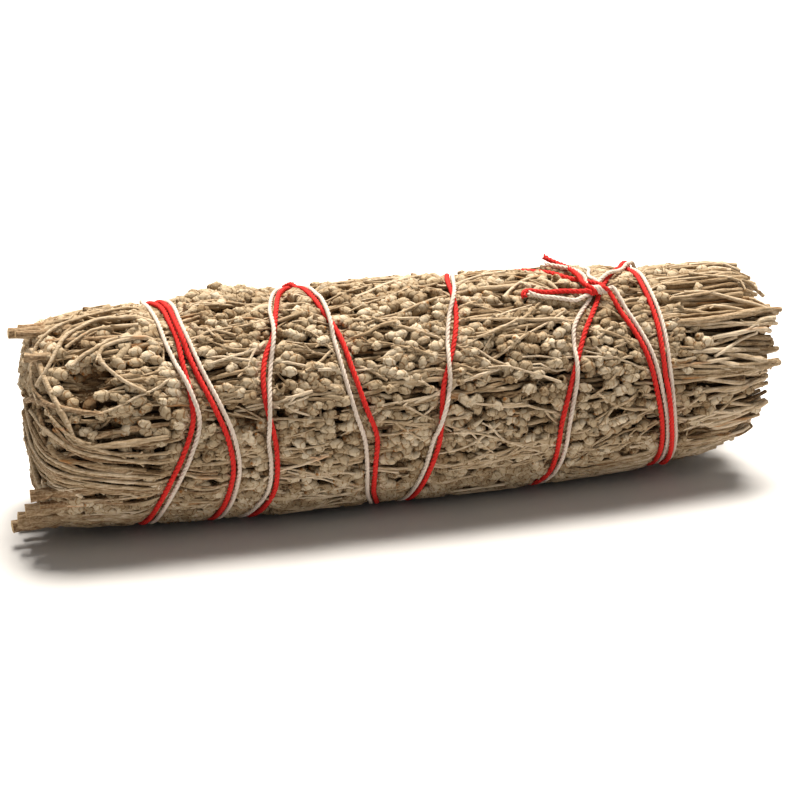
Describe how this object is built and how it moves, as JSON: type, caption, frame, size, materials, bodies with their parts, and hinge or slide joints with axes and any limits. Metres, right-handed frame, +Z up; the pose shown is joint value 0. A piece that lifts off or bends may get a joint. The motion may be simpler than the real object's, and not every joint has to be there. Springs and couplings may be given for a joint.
{
  "type": "dried sage bunch",
  "caption": "Roll of dried sage sprigs with small flower buds, folded in at one end and cut at the other, wound crosswise with red and white cotton string tied in a knot.",
  "frame": {"origin": "middle of the bunch's footprint, on the surface it lies on", "axes": "+X along the bunch from its folded tops to its cut stems, +Z up, -Y the side that shows best"},
  "size_m": [0.184, 0.0552, 0.0537],
  "materials": {
    "dried_sage": "matt, felted grey-green to beige, dry",
    "inner_sage": "matt, darker, dry",
    "red_cotton": "twisted cotton, matt",
    "white_cotton": "twisted cotton, off-white, matt"
  },
  "bodies": {
    "root": {"sprig_01": "dried_sage", "sprig_02": "dried_sage", "sprig_03": "dried_sage", "sprig_04": "dried_sage", "sprig_05": "dried_sage", "sprig_06": "dried_sage", "sprig_07": "dried_sage", "sprig_08": "dried_sage", "sprig_09": "dried_sage", "sprig_10": "dried_sage", "sprig_11": "dried_sage", "sprig_12": "dried_sage", "inner_sprig_1": "inner_sage", "inner_sprig_2": "inner_sage", "inner_sprig_3": "inner_sage", "inner_sprig_4": "inner_sage", "inner_sprig_5": "inner_sage", "red_string": "red_cotton", "white_string": "white_cotton"}
  },
  "joints": []
}
